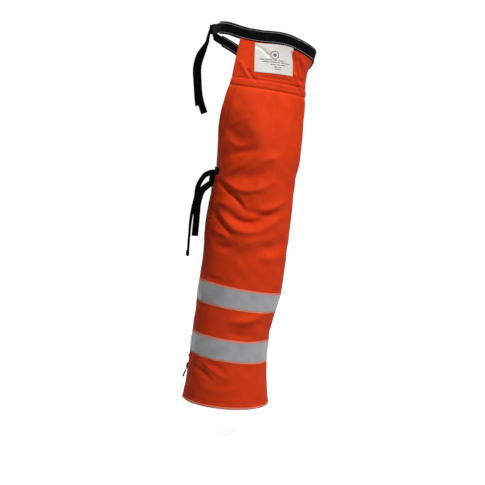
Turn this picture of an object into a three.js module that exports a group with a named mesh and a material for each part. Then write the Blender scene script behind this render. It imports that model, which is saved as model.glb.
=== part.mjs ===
// A pair of wrap-round chainsaw chaps: a waistband that ties at the back, and two padded legs,
// each with a tie behind the thigh, a zip behind the calf and two reflective tapes.
// Millimetres. +X is the wearer's front, -Y the wearer's right, +Z up.
// The origin is the centre of the waist opening.
import * as THREE from 'three';

// ---- Driving dimensions -------------------------------------------------------------------
const WAIST = { back: 139, front: 143, halfWidth: 175, squareness: 3.2, height: 32, thickness: 4 };
// Height of the band's top edge at angles from the back centre: it drops over the hips.
const WAIST_TOP = [
  [0, 40], [20, 40], [35, 37], [48, 30], [60, 18], [72, 7], [86, 1], [100, -5], [115, -17],
  [130, -26], [145, -31], [160, -33], [180, -33],
];
const BAND_END = 34;                 // degrees from the back centre where the padded band stops
const WEBBING_WIDTH = 25;
const WEBBING_THICKNESS = 2;
const TAIL = { width: 19, thickness: 1.6 };
const STRAP_LIFT = 0.8;              // how far the thigh straps stand off the fabric
const BAND_GAP = 1.5;                // from the band's lower edge to the apron

const GAP = 0.4;                     // clearance between neighbouring layers
const SHELL = 1.4;                   // outer fabric
const PAD = 8;                       // saw-stopping fibre pad
const LINING = 0.8;
const TAPE = 0.6;                    // reflective tape
const LABEL = 0.5;

// Sections of the right leg from the seam under the apron to the hem. z is the height of the
// section's middle, drop how far its front edge lies below that and its back edge above it.
// centre and half are the middle and half-width across, opening the angles from the back
// centre at which the fabric starts on the outer side and ends on the inner side.
const ZIP_GAP = 11;                  // fabric edge to zip centreline
const zipOpening = (half) => {
  const angle = THREE.MathUtils.radToDeg(Math.asin(ZIP_GAP / half));
  return [angle, 360 - angle];
};
const ZIP_TOP = { x: -161, z: -566 };
const ZIP_LEAN = THREE.MathUtils.degToRad(8);
const onZip = (z) => ZIP_TOP.x - (ZIP_TOP.z - z) * Math.tan(ZIP_LEAN);
const calf = (z, drop, front, centre, half) => (
  { z, drop, back: onZip(z + drop), front, centre, half, opening: zipOpening(half) });

const SECTIONS = [
  { z: -130, drop: 18, back: -154, front: 110, centre: 88, half: 86, opening: [61, 222] },
  { z: -184, drop: 22, back: -146, front: 105, centre: 90, half: 88, opening: [49, 258] },
  { z: -233, drop: 22, back: -135, front: 102, centre: 92, half: 89, opening: [34, 285] },
  { z: -301, drop: 20, back: -124, front: 95, centre: 95, half: 89, opening: [16, 300] },
  { z: -365, drop: 17, back: -126, front: 82, centre: 98, half: 88, opening: [10, 305] },
  { z: -451, drop: 16, back: -145, front: 73, centre: 100, half: 86, opening: [10, 325] },
  { z: -518, drop: 16, back: -157, front: 65, centre: 103, half: 84, opening: [9, 343] },
  calf(-582, 16, 57, 106, 83),
  calf(-652, 24, 47, 106, 82),
  calf(-708, 21, 31, 106, 81),
  calf(-786, 16, 12, 106, 81),
  calf(-845, 16, 9, 106, 82),
  calf(-908, 13, 9, 106, 84),
  { z: -967, drop: 10, back: -219, front: 14, centre: 106, half: 87, opening: [7, 353] },
];
const ROW = { seam: 0, tie: 4, kneeTop: 5, kneeLow: 7, upperTape: 8, lowerTape: 10, hem: 13 };

// Shares of the way round a leg at which a section has a corner; the second and the last
// but one are the edges of the pad.
const PAD_INSET = 0.022;
const STEPS_ROUND = 14;
const COLUMNS = [
  0,
  PAD_INSET,
  ...Array.from({ length: STEPS_ROUND - 1 }, (_, i) => (i + 1) / STEPS_ROUND),
  1 - PAD_INSET,
  1,
];
const APRON_COLUMNS = [0, 0.05, 0.15, 0.25, 0.35, 0.45, 0.55, 0.65, 0.75, 0.85, 0.95, 1];
const APRON_ROWS = [0, 0.06, 0.25, 0.45, 0.65, 0.85, 1];
const APRON_ARC = [64, 168];         // degrees round the waist covered by one apron

const ZIP = {
  tapeLength: 335,
  tapeInner: 3.9,
  tapeOuter: 13,
  tapeDepth: 3.4,
  tapeThickness: 0.8,
  chainStart: 5,
  chainEnd: 324,
  chainWidth: 3,
  chainDepth: 2.6,
  chainThickness: 2.4,
  middleGap: 1,
  sliderTop: 306,
  sliderLength: 13,
  sliderHalfWidth: 4.5,
  plate: 1.4,
  pullLength: 28,
  pullHalfWidth: 3.4,
  pullThickness: 1.4,
  pullTop: 0.8,
};

const COLOUR = {
  orange: 0xd4401c,
  black: 0x0f0f11,
  tape: 0x9a9c9e,
  label: 0xe8e8e4,
  pad: 0xd9d2bd,
  lining: 0x2b2c2f,
  teeth: 0x151517,
  zinc: 0x2a2a2c,
};

// ---- Small tools ----------------------------------------------------------------------------
const part = new THREE.Group();
const radians = THREE.MathUtils.degToRad;
const lerp = THREE.MathUtils.lerp;

function add(name, geometry, color, roughness, parent = part, metalness = 0) {
  const mesh = new THREE.Mesh(geometry, new THREE.MeshStandardMaterial({ color, roughness, metalness }));
  mesh.name = name;
  parent.add(mesh);
  return mesh;
}

// Turns a mesh the right way round if its faces point inwards.
function facingOut(points, triangles) {
  let volume = 0;
  for (const [a, b, c] of triangles) {
    volume += points[a].dot(new THREE.Vector3().crossVectors(points[b], points[c]));
  }
  const index = triangles.flatMap(([a, b, c]) => (volume > 0 ? [a, b, c] : [a, c, b]));
  const geometry = new THREE.BufferGeometry().setFromPoints(points);
  geometry.setIndex(index);
  geometry.computeVertexNormals();
  return geometry;
}

// A sheet with a real thickness. surface(row, column, depth) gives a point; depth is measured
// inwards from the outer face of the fabric.
function layer(surface, rows, columns, outerDepth, innerDepth) {
  const points = [];
  for (const depth of [outerDepth, innerDepth]) {
    for (const row of rows) {
      for (const column of columns) points.push(surface(row, column, depth));
    }
  }
  const across = columns.length;
  const side = rows.length * across;
  const at = (face, row, column) => face * side + row * across + column;
  const triangles = [];
  const quad = (a, b, c, d) => triangles.push([a, b, c], [a, c, d]);
  for (let r = 0; r + 1 < rows.length; r += 1) {
    for (let c = 0; c + 1 < across; c += 1) {
      quad(at(0, r, c), at(0, r, c + 1), at(0, r + 1, c + 1), at(0, r + 1, c));
      triangles.push([at(1, r, c), at(1, r + 1, c + 1), at(1, r, c + 1)]);
      triangles.push([at(1, r, c), at(1, r + 1, c), at(1, r + 1, c + 1)]);
    }
    quad(at(0, r, 0), at(0, r + 1, 0), at(1, r + 1, 0), at(1, r, 0));
    quad(at(0, r + 1, across - 1), at(0, r, across - 1), at(1, r, across - 1), at(1, r + 1, across - 1));
  }
  const last = rows.length - 1;
  for (let c = 0; c + 1 < across; c += 1) {
    quad(at(0, 0, c + 1), at(0, 0, c), at(1, 0, c), at(1, 0, c + 1));
    quad(at(0, last, c), at(0, last, c + 1), at(1, last, c + 1), at(1, last, c));
  }
  return facingOut(points, triangles);
}

// ---- Surfaces of the garment ----------------------------------------------------------------
// side is -1 for the wearer's right and +1 for the left.
function legPoint(side, section, angle, depth) {
  const a = radians(angle);
  const half = (section.front - section.back) / 2;
  return new THREE.Vector3(
    (section.front + section.back) / 2 - (half - depth) * Math.cos(a),
    side * (section.centre + (section.half - depth) * Math.sin(a)),
    section.z + section.drop * Math.cos(a),
  );
}

// Column shares become angles, and rows between two sections lie on the straight line from
// one to the other, so layers that use the same sections nest without touching.
function legSurface(side) {
  const corner = (row, column, depth) => {
    const [from, to] = SECTIONS[row].opening;
    return legPoint(side, SECTIONS[row], lerp(from, to, column), depth);
  };
  return (row, column, depth) => {
    const above = Math.min(Math.floor(row), SECTIONS.length - 2);
    return corner(above, column, depth).lerp(corner(above + 1, column, depth), row - above);
  };
}

function waistTop(angle) {
  const turned = angle > 180 ? 360 - angle : angle;
  const next = Math.max(1, WAIST_TOP.findIndex(([knot]) => knot >= turned));
  const [from, low] = WAIST_TOP[next - 1];
  const [to, high] = WAIST_TOP[next];
  return THREE.MathUtils.lerp(low, high, (turned - from) / (to - from));
}

// The ring round the waist is an ellipse behind and squarer in front, where the belly is flat.
function waistPoint(side, angle, below, depth) {
  const cosine = Math.cos(radians(angle));
  const sine = Math.sin(radians(angle));
  const power = cosine < 0 ? 2 / WAIST.squareness : 1;
  const reach = cosine < 0 ? WAIST.front : WAIST.back;
  return new THREE.Vector3(
    -(reach - depth) * Math.sign(cosine) * Math.abs(cosine) ** power,
    side * (WAIST.halfWidth - depth) * Math.sign(sine) * Math.abs(sine) ** power,
    waistTop(angle) - below,
  );
}

function apronSurface(side) {
  return (row, column, depth) => {
    const top = waistPoint(side, lerp(...APRON_ARC, column), WAIST.height + BAND_GAP, depth);
    const bottom = legPoint(side, SECTIONS[0], lerp(...SECTIONS[0].opening, column), depth);
    return top.lerp(bottom, row);
  };
}

const range = (first, last) => Array.from({ length: last - first + 1 }, (_, i) => first + i);
const arc = (from, to, steps) => range(0, steps).map((i) => lerp(from, to, i / steps));

// ---- Waist ------------------------------------------------------------------------------------
function makeWaist() {
  const ring = (below, angle, depth) => waistPoint(-1, angle, below, depth);
  const band = layer(ring, [0, WAIST.height], arc(BAND_END, 360 - BAND_END, 44), 0, WAIST.thickness);
  add('waistband', band, COLOUR.black, 0.9);

  const top = (WAIST.height - WEBBING_WIDTH) / 2;
  const rows = [top, top + WEBBING_WIDTH];
  for (const [name, side] of [['right', -1], ['left', 1]]) {
    const strip = (below, angle, depth) => waistPoint(side, angle, below, depth);
    const webbing = layer(strip, rows, arc(8, BAND_END - 0.3, 5), 1, 1 + WEBBING_THICKNESS);
    add(`belt_webbing_${name}`, webbing, COLOUR.black, 0.85);
  }
  const knot = new THREE.SphereGeometry(1, 14, 10);
  knot.rotateX(Math.PI / 2);
  knot.scale(10, 14, 13);
  knot.translate(-WAIST.back + 2, 0, waistTop(0) - 9);
  add('waist_knot', knot, COLOUR.black, 0.85);
}

// ---- Free tails of the ties -------------------------------------------------------------------
// A flat webbing tail. points are x, z pairs. Its width lies in the plane of its fall, or
// across it where the tail hangs flat against the leg.
function tail(name, y, points, steps, flat = false) {
  const curve = new THREE.CatmullRomCurve3(points.map(([x, z]) => new THREE.Vector3(x, y, z)));
  const t = TAIL.thickness / 2;
  const w = TAIL.width / 2;
  const section = new THREE.Shape([
    [t, -w + t], [t, w - t], [t / 2, w], [-t / 2, w],
    [-t, w - t], [-t, -w + t], [-t / 2, -w], [t / 2, -w],
  ].map(([out, along]) => (flat ? new THREE.Vector2(along, out) : new THREE.Vector2(out, along))));
  const geometry = new THREE.ExtrudeGeometry(section, { extrudePath: curve, steps });
  add(name, geometry, COLOUR.black, 0.85);
}

const WAIST_TAIL_LONG = [
  [-147, 13], [-150, 0], [-160, -18], [-170, -36], [-177, -58], [-179, -80], [-178, -101],
  [-177, -123], [-175, -144], [-170, -166], [-162, -191],
];
const WAIST_TAIL_SHORT = [
  [-149, 14], [-153, 1], [-164, -19], [-174, -37], [-181, -59], [-183, -80], [-182, -101],
  [-181, -123], [-180, -144], [-177, -172],
];
const TIE_TAIL_LONG = [
  [-147, -357], [-155, -361], [-164, -372], [-172, -386], [-177, -402], [-180, -420],
  [-188, -448], [-194, -480], [-197, -508], [-200, -540], [-202, -566],
];
const TIE_TAIL_SHORT = [
  [-145, -386], [-152, -391], [-163, -401], [-171, -419], [-176, -440], [-178, -462],
  [-180, -486], [-184, -524],
];
// The left tie has been pulled down, so its tails hang close behind the knee.
const LEFT_TAIL_LONG = [
  [-146, -357], [-148, -366], [-147, -385], [-147, -410], [-153, -440], [-161, -475],
  [-166, -510], [-168, -545], [-169.5, -576],
];
const LEFT_TAIL_SHORT = [
  [-142, -390], [-145, -400], [-147, -416], [-153, -442], [-160, -480], [-165, -524],
];

// ---- Legs ---------------------------------------------------------------------------------------
// The three stretches of a leg: above the knee, round it and below it. A small gap in the row
// count keeps neighbouring stretches apart.
const ROW_GAP = 0.004;
const STRETCHES = {
  thigh: [ROW.seam, ROW.kneeTop],
  knee: [ROW.kneeTop, ROW.kneeLow],
  shin: [ROW.kneeLow, ROW.hem],
};
const PAD_END = ROW.hem - 0.3;       // the pad and lining stop above the hem

function stretchRows(first, last) {
  return [first + ROW_GAP, ...range(first + 1, Math.ceil(last) - 1), last - ROW_GAP];
}

function makeLeg(name, side) {
  const surface = legSurface(side);
  const inset = COLUMNS.slice(1, -1);
  const padOuter = SHELL + GAP;
  const liningOuter = padOuter + PAD + GAP;
  for (const [stretch, [first, last]] of Object.entries(STRETCHES)) {
    const rows = stretchRows(first, last);
    const short = stretchRows(first, Math.min(last, PAD_END));
    add(`${name}_${stretch}_shell`, layer(surface, rows, COLUMNS, 0, SHELL), COLOUR.orange, 0.8);
    add(`${name}_${stretch}_pad`, layer(surface, short, inset, padOuter, padOuter + PAD), COLOUR.pad, 0.95);
    const lining = layer(surface, short, inset, liningOuter, liningOuter + LINING);
    add(`${name}_${stretch}_lining`, lining, COLOUR.lining, 0.85);
  }
  for (const [tape, row] of [['upper', ROW.upperTape], ['lower', ROW.lowerTape]]) {
    const strip = layer(surface, [row, row + 1], COLUMNS, -GAP - TAPE, -GAP);
    add(`${name}_${tape}_reflective_tape`, strip, COLOUR.tape, 0.45);
  }
  const apron = layer(apronSurface(side), APRON_ROWS, APRON_COLUMNS, 0, SHELL);
  add(`${name}_apron`, apron, COLOUR.orange, 0.8);
}

// The tie behind the thigh: a strap sewn to each edge of the leg and a knot between them.
function makeTie(name, side) {
  const section = SECTIONS[ROW.tie];
  const strap = (offset, angle, depth) => {
    const next = SECTIONS[offset < 0 ? ROW.tie - 1 : ROW.tie + 1];
    const share = Math.abs(offset / (next.z - section.z));
    return legPoint(side, section, angle, depth).lerp(legPoint(side, next, angle, depth), share);
  };
  const rows = [-TAIL.width / 2, 0, TAIL.width / 2];
  const [outerEdge, innerEdge] = section.opening;
  const outer = arc(outerEdge + 14, 8.5, 5);
  const inner = arc(innerEdge - 10, 351.5, 8);
  for (const [half, angles] of [['outer', outer], ['inner', inner]]) {
    const webbing = layer(strap, rows, angles, -STRAP_LIFT - TAIL.thickness, -STRAP_LIFT);
    add(`${name}_tie_strap_${half}`, webbing, COLOUR.black, 0.85);
  }
  const knot = new THREE.SphereGeometry(1, 12, 8);
  knot.rotateX(Math.PI / 2);
  knot.scale(9, 11, 19);
  knot.translate(section.back - 6, side * section.centre, section.z + section.drop - 20);
  add(`${name}_tie_knot`, knot, COLOUR.black, 0.85);
  if (side < 0) {
    tail(`${name}_tie_tail_long`, side * (section.centre + 4), TIE_TAIL_LONG, 22);
    tail(`${name}_tie_tail_short`, side * (section.centre - 4), TIE_TAIL_SHORT, 14);
  } else {
    tail(`${name}_tie_tail_long`, side * (section.centre + 12), LEFT_TAIL_LONG, 22, true);
    tail(`${name}_tie_tail_short`, side * (section.centre - 12), LEFT_TAIL_SHORT, 14, true);
  }
}

// The zip behind the calf, in a frame whose +Z runs up the zip and -X points out of the leg.
function makeZip(name, side) {
  const zip = new THREE.Group();
  zip.position.set(ZIP_TOP.x, side * SECTIONS[ROW.kneeLow].centre, ZIP_TOP.z);
  zip.rotation.y = ZIP_LEAN;
  part.add(zip);

  const bar = (from, to, nearY, farY, depth, thickness, flip) => {
    const box = new THREE.BoxGeometry(thickness, farY - nearY, to - from);
    return box.translate(depth + thickness / 2, flip * (nearY + farY) / 2, -(from + to) / 2);
  };
  const chainInner = ZIP.middleGap / 2;
  const chainOuter = chainInner + ZIP.chainWidth;
  for (const [half, flip] of [['outer', side], ['inner', -side]]) {
    const tape = bar(0, ZIP.tapeLength, ZIP.tapeInner, ZIP.tapeOuter, ZIP.tapeDepth, ZIP.tapeThickness, flip);
    add(`${name}_zip_tape_${half}`, tape, COLOUR.black, 0.9, zip);
    const teeth = bar(
      ZIP.chainStart, ZIP.chainEnd, chainInner, chainOuter, ZIP.chainDepth, ZIP.chainThickness, flip);
    add(`${name}_zip_teeth_${half}`, teeth, COLOUR.teeth, 0.4, zip);
  }
  const stop = bar(0.5, ZIP.chainStart - GAP, -chainOuter, chainOuter, ZIP.chainDepth, ZIP.chainThickness, 1);
  add(`${name}_zip_top_stop`, stop, COLOUR.zinc, 0.4, zip, 0.6);

  // Slider: two plates joined by a thin web that runs between the teeth, with a lug outside.
  const w = ZIP.sliderHalfWidth;
  const web = 0.2;
  const inside = ZIP.chainDepth - 0.5;
  const beyond = ZIP.chainDepth + ZIP.chainThickness + 0.5;
  const lug = 1.1;
  const lugTop = inside - ZIP.plate - 3;
  const profile = new THREE.Shape([
    [lugTop, -lug], [inside - ZIP.plate, -lug], [inside - ZIP.plate, -w], [inside, -w],
    [inside, -web], [beyond, -web], [beyond, -w], [beyond + ZIP.plate, -w],
    [beyond + ZIP.plate, w], [beyond, w], [beyond, web], [inside, web],
    [inside, w], [inside - ZIP.plate, w], [inside - ZIP.plate, lug], [lugTop, lug],
  ].map(([x, y]) => new THREE.Vector2(x, y)));
  const slider = new THREE.ExtrudeGeometry(profile, { depth: ZIP.sliderLength, bevelEnabled: false });
  slider.translate(0, 0, -ZIP.sliderTop - ZIP.sliderLength);
  add(`${name}_zip_slider`, slider, COLOUR.zinc, 0.4, zip, 0.6);

  // Pull: a flat tab that hangs from two cheeks beside the lug.
  const pivot = new THREE.Group();
  pivot.position.set(lugTop + 1, 0, -ZIP.sliderTop - ZIP.sliderLength + 2);
  pivot.rotation.y = radians(10);
  zip.add(pivot);
  const p = ZIP.pullHalfWidth;
  const slot = lug + 0.5;
  const top = ZIP.pullTop;
  const outline = new THREE.Shape([
    [-p, top], [-p, -ZIP.pullLength + 3], [-p + 2, -ZIP.pullLength], [p - 2, -ZIP.pullLength],
    [p, -ZIP.pullLength + 3], [p, top], [slot, top], [slot, -5], [-slot, -5], [-slot, top],
  ].map(([x, y]) => new THREE.Vector2(x, y)));
  const pull = new THREE.ExtrudeGeometry(outline, { depth: ZIP.pullThickness, bevelEnabled: false });
  pull.rotateX(Math.PI / 2);
  pull.rotateZ(Math.PI / 2);
  pull.translate(-ZIP.pullThickness / 2 - 1, 0, 0);
  add(`${name}_zip_pull`, pull, COLOUR.zinc, 0.4, pivot, 0.6);
}

// ---- Label on the right apron -------------------------------------------------------------------
function makeLabel() {
  const columns = APRON_COLUMNS.filter((share) => share >= 0.15 && share <= 0.55);
  const rows = APRON_ROWS.filter((share) => share >= 0.06 && share <= 0.65);
  add('label', layer(apronSurface(-1), rows, columns, -GAP - LABEL, -GAP), COLOUR.label, 0.6);
}

makeWaist();
tail('waist_tail_long', 8, WAIST_TAIL_LONG, 22);
tail('waist_tail_short', -8, WAIST_TAIL_SHORT, 20);
for (const [name, side] of [['right', -1], ['left', 1]]) {
  makeLeg(name, side);
  makeTie(name, side);
  makeZip(name, side);
}
makeLabel();

export default part;
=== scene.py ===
import math
import bpy
import numpy as np
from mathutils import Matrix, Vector


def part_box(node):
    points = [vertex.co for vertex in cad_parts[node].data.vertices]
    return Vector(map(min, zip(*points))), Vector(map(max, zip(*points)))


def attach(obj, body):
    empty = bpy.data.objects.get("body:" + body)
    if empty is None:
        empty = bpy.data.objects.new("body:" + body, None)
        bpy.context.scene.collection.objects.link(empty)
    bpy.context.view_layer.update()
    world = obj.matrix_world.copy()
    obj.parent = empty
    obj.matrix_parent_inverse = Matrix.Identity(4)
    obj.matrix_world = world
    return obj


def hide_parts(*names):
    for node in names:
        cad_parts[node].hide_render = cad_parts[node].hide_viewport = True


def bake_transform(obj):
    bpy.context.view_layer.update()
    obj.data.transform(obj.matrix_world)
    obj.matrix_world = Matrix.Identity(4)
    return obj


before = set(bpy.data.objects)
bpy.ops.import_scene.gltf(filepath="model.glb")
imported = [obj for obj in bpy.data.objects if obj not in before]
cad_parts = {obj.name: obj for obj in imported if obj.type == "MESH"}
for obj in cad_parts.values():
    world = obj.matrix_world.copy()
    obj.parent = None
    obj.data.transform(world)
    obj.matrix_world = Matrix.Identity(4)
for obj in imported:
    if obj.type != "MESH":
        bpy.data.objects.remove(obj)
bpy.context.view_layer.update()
MM = 0.001
SIDES = (("right", -1), ("left", 1))


# ---- Camera -------------------------------------------------------------------------------
# A normal lens two metres to the wearer's right, a little above the knees and tipped down.
CAMERA_PLACE = (-0.0558, -2.0, -0.348)
CAMERA_PITCH = 5.8                   # degrees below level


def add_object(name, data):
    """A new object, linked into the scene."""
    obj = bpy.data.objects.new(name, data)
    bpy.context.scene.collection.objects.link(obj)
    return obj


camera = add_object("camera", bpy.data.cameras.new("camera"))
camera.location = CAMERA_PLACE
camera.rotation_euler = (math.radians(90 - CAMERA_PITCH), 0, 0)
camera.data.lens = 52.9
camera.data.sensor_width = 36
bpy.context.scene.camera = camera


# ---- Materials of webbing ------------------------------------------------------------------
# Polyester webbing: woven on narrow looms in fine cross ribs, dull black, slightly fuzzy, so
# it shows almost no gloss.
def linear(hex_colour):
    """An sRGB hex colour as the linear RGBA that sockets take."""
    parts = [int(hex_colour[i:i + 2], 16) / 255 for i in (1, 3, 5)]
    return [c / 12.92 if c <= 0.04045 else ((c + 0.055) / 1.055) ** 2.4 for c in parts] + [1.0]


def add_node(tree, kind, settings=None, inputs=None):
    """Adds a node, sets its properties, and sets or links its inputs."""
    node = tree.nodes.new(kind)
    for key, value in (settings or {}).items():
        setattr(node, key, value)
    for key, value in (inputs or {}).items():
        if isinstance(value, bpy.types.NodeSocket):
            tree.links.new(value, node.inputs[key])
        else:
            node.inputs[key].default_value = value
    return node


def new_material(name, colour, roughness, **sockets):
    """A material with a plain finish; returns it with its tree and its main shader."""
    material = bpy.data.materials.new(name)
    material.use_nodes = True
    tree = material.node_tree
    shader = tree.nodes["Principled BSDF"]
    shader.inputs["Base Color"].default_value = linear(colour)
    shader.inputs["Roughness"].default_value = roughness
    shader.inputs["Specular IOR Level"].default_value = 0.3
    for key, value in sockets.items():
        shader.inputs[key.replace("_", " ")].default_value = value
    return material, tree, shader


def mottle(tree, shader, light, dark, scale, detail=4.0):
    """Colour that drifts between two shades, as dyed cloth does; returns the cloth coordinates."""
    uv = add_node(tree, "ShaderNodeUVMap", {"uv_map": "cloth"})
    noise = add_node(tree, "ShaderNodeTexNoise", None,
                     {"Vector": uv.outputs["UV"], "Scale": scale, "Detail": detail, "Roughness": 0.6})
    ramp = add_node(tree, "ShaderNodeValToRGB", None, {"Fac": noise.outputs["Fac"]})
    ramp.color_ramp.elements[0].position = 0.3
    ramp.color_ramp.elements[1].position = 0.7
    ramp.color_ramp.elements[0].color = linear(dark)
    ramp.color_ramp.elements[1].color = linear(light)
    tree.links.new(ramp.outputs["Color"], shader.inputs["Base Color"])
    return uv.outputs["UV"]


def ribs(tree, uv, pitch, direction):
    """Parallel ribs of a given pitch across the cloth, as a height from 0 to 1."""
    # One turn of the wave texture takes 2 * pi / 20 of its coordinate.
    wave = add_node(tree, "ShaderNodeTexWave", {"bands_direction": direction},
                    {"Vector": uv, "Scale": math.pi / 10 / pitch, "Distortion": 0.4, "Detail": 1.0})
    return wave.outputs["Fac"]


def bump(tree, shader, height, strength, distance):
    """Raises the surface by a height that runs from 0 to 1."""
    node = add_node(tree, "ShaderNodeBump", None,
                    {"Height": height, "Strength": strength, "Distance": distance})
    tree.links.new(node.outputs["Normal"], shader.inputs["Normal"])


webbing_black, web_tree, web_shader = new_material(
    "woven_polyester_webbing", "#070708", 0.85, Specular_IOR_Level=0.03)
web_uv = mottle(web_tree, web_shader, "#09090a", "#030304", 90)
WEB_RIB = 1.6 * MM                   # real ribs are about 1 mm apart; wider so that they show
bump(web_tree, web_shader, ribs(web_tree, web_uv, WEB_RIB, "Y"), 0.5, 0.25 * MM)


# ---- Mesh tools shared by every sewn piece ---------------------------------------------------
# Sewn pieces are either sheets, made from a grid of points with an inner and an outer face, or
# webbing, made by sweeping a flat rounded section along a curve.
UP = np.array([0.0, 0.0, 1.0])


def make_object(name, verts, faces, material, uvs=None, smooth=True):
    """A mesh object; uvs is one cloth coordinate, in metres, for each vertex."""
    mesh = bpy.data.meshes.new(name)
    mesh.from_pydata([tuple(v) for v in verts], [], faces)
    mesh.materials.append(material)
    if uvs is not None:
        layer = mesh.uv_layers.new(name="cloth")
        index = np.zeros(len(mesh.loops), np.int32)
        mesh.loops.foreach_get("vertex_index", index)
        layer.data.foreach_set("uv", np.asarray(uvs, np.float32)[index].ravel())
    mesh.polygons.foreach_set("use_smooth", [smooth] * len(mesh.polygons))
    mesh.update()
    return add_object(name, mesh)


def grid_faces(rows, columns, start=0, flip=False, closed=False):
    """Quads of a grid of vertices; closed joins the last column to the first."""
    faces = []
    for r in range(rows - 1):
        for c in range(columns if closed else columns - 1):
            a = start + r * columns + c
            b = start + r * columns + (c + 1) % columns
            quad = (a, b, b + columns, a + columns)
            faces.append(quad[::-1] if flip else quad)
    return faces


def outward(obj):
    """Turns a closed mesh the right way round if its faces point inwards."""
    mesh = obj.data
    mesh.calc_loop_triangles()
    points = np.array([v.co for v in mesh.vertices])
    corners = points[np.array([t.vertices for t in mesh.loop_triangles])]
    volume = np.einsum("ij,ij->i", corners[:, 0], np.cross(corners[:, 1], corners[:, 2])).sum()
    if volume < 0:
        mesh.flip_normals()
    return obj


def sheet_mesh(name, outer, inner, uvs, material):
    """A closed cloth sheet from two grids of points, outer and inner, each (rows, columns, 3)."""
    rows, columns = outer.shape[:2]
    count = rows * columns
    faces = grid_faces(rows, columns) + grid_faces(rows, columns, count, flip=True)
    rim = [r * columns for r in range(rows)]
    rim += [(rows - 1) * columns + c for c in range(1, columns)]
    rim += [r * columns + columns - 1 for r in range(rows - 2, -1, -1)]
    rim += [c for c in range(columns - 2, 0, -1)]
    for a, b in zip(rim, rim[1:] + rim[:1]):
        faces.append((a, b, b + count, a + count))
    verts = np.concatenate([outer.reshape(-1, 3), inner.reshape(-1, 3)])
    obj = outward(make_object(name, verts, faces, material, np.concatenate([uvs.reshape(-1, 2)] * 2)))
    obj.data.set_sharp_from_angle(angle=math.radians(60))
    return obj


def smooth_path(points, per_span=10):
    """A Catmull-Rom line through the points."""
    p = np.asarray(points, float)
    padded = np.vstack([2 * p[0] - p[1], p, 2 * p[-1] - p[-2]])
    t = np.arange(per_span) / per_span
    out = []
    for a, b, c, d in zip(padded, padded[1:], padded[2:], padded[3:]):
        for s in t:
            out.append(0.5 * (2 * b + (c - a) * s + (2 * a - 5 * b + 4 * c - d) * s ** 2
                              + (3 * b - a - 3 * c + d) * s ** 3))
    return np.array(out + [p[-1]])


def flat_section(width, thickness, corner_steps=3):
    """A flat rounded outline: (across, out) pairs, anticlockwise."""
    r = thickness / 2
    x = width / 2 - r
    ends = []
    for centre, start in ((x, -90), (-x, 90)):
        for i in range(2 * corner_steps + 1):
            a = math.radians(start + 180 * i / (2 * corner_steps))
            ends.append((centre + r * math.cos(a), r * math.sin(a)))
        for i in range(1, 5):
            step = 2 * x * i / 5
            ends.append((centre - step, r) if centre > 0 else (centre + step, -r))
    return np.array(ends)


def sweep(name, path, across, section, material, closed=False):
    """Sweeps a flat section along a path; across is the direction of its width, one for the
    whole path or one at each point."""
    path = np.asarray(path, float)
    if closed:
        tangent = np.roll(path, -1, 0) - np.roll(path, 1, 0)
    else:
        tangent = np.gradient(path, axis=0)
    tangent /= np.linalg.norm(tangent, axis=1)[:, None]
    side = across - (across * tangent).sum(1)[:, None] * tangent
    side /= np.linalg.norm(side, axis=1)[:, None]
    out = np.cross(tangent, side)
    points = (path[:, None] + section[None, :, :1] * side[:, None]
              + section[None, :, 1:] * out[:, None])
    step = np.linalg.norm(np.diff(path, axis=0), axis=1)
    run = np.concatenate([[0], np.cumsum(step)])
    n = len(section)
    uvs = np.stack([np.tile(section[:, 0], (len(path), 1)), np.repeat(run[:, None], n, 1)], -1)
    rows = len(path)
    faces = grid_faces(rows, n, closed=True)
    if closed:
        last = (rows - 1) * n
        faces += [(last + c, last + (c + 1) % n, (c + 1) % n, c) for c in range(n)]
    else:
        faces += [tuple(range(n))[::-1], tuple((rows - 1) * n + c for c in range(n))]
    return outward(make_object(name, points.reshape(-1, 3), faces, material, uvs.reshape(-1, 2)))


def place(obj, nodes=(), body=None):
    """Hides the CAD nodes that a piece stands for, and hangs it on the body that it rides on."""
    if nodes:
        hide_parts(*nodes)
    if body:
        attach(obj, body)
    return obj


# ---- Free tails of the waist and thigh ties ----------------------------------------------------
# Flat webbing, limp, hanging from its knot; each tail twists on the way down, so it shows its
# face at one height and its edge at another.
TAIL_WIDTH = 19 * MM
TAIL_THICKNESS = 1.6 * MM
WAIST_TAIL_LONG = [
    (-139, 38), (-144, 31), (-148, 16), (-151, 1), (-160, -18), (-170, -36), (-177, -58),
    (-179, -80), (-178, -101), (-177, -123), (-175, -144), (-170, -166), (-162, -191)]
WAIST_TAIL_SHORT = [
    (-141, 36), (-146, 29), (-151, 14), (-154, 0), (-164, -19), (-174, -37), (-181, -59),
    (-183, -80), (-182, -101), (-181, -123), (-180, -144), (-177, -172)]
TIE_TAIL_LONG = [
    (-128, -356), (-138, -355), (-147, -357), (-155, -361), (-164, -372), (-172, -386), (-177, -402),
    (-180, -420), (-188, -448), (-194, -480), (-197, -508), (-200, -540), (-202, -566)]
TIE_TAIL_SHORT = [
    (-130, -378), (-138, -382), (-145, -386), (-152, -391), (-163, -401), (-171, -419), (-176, -440),
    (-178, -462), (-180, -486), (-184, -524)]
# The left tie has been pulled down, so its tails hang close behind the knee.
LEFT_TAIL_LONG = [
    (-146, -357), (-148, -366), (-147, -385), (-147, -410), (-153, -440), (-161, -475),
    (-166, -510), (-168, -545), (-169.5, -576)]
LEFT_TAIL_SHORT = [
    (-142, -390), (-145, -400), (-147, -416), (-153, -442), (-160, -480), (-165, -524)]


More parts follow.
